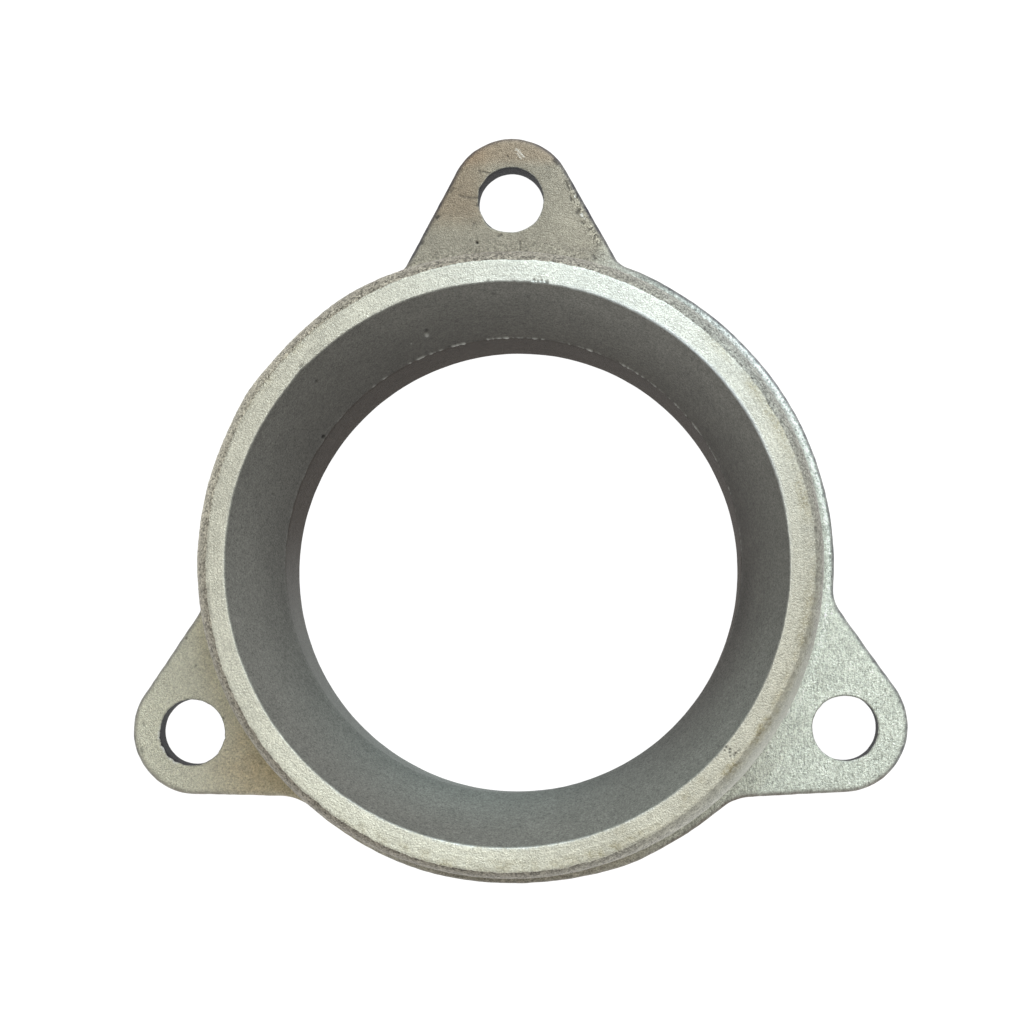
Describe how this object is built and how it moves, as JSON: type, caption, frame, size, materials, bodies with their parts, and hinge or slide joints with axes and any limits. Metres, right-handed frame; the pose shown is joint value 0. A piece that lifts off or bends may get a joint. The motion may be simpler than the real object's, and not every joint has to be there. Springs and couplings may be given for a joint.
{
  "type": "pump inlet flange",
  "caption": "Cast inlet flange with a raised round collar, a conical inlet narrowing to a straight throat, and tapered bolting lugs on a flat-backed plate.",
  "frame": {"origin": "centre of the throat bore at the flange's flat back face", "axes": "+Z along the bore towards the inlet mouth, +Y towards the single lug, +X to the right seen from the mouth side"},
  "size_m": [0.1062, 0.1023, 0.025],
  "materials": {
    "cast_alloy": "shot-blasted as cast, mouth face turned"
  },
  "bodies": {
    "root": {"inlet_flange": "cast_alloy"}
  },
  "joints": []
}
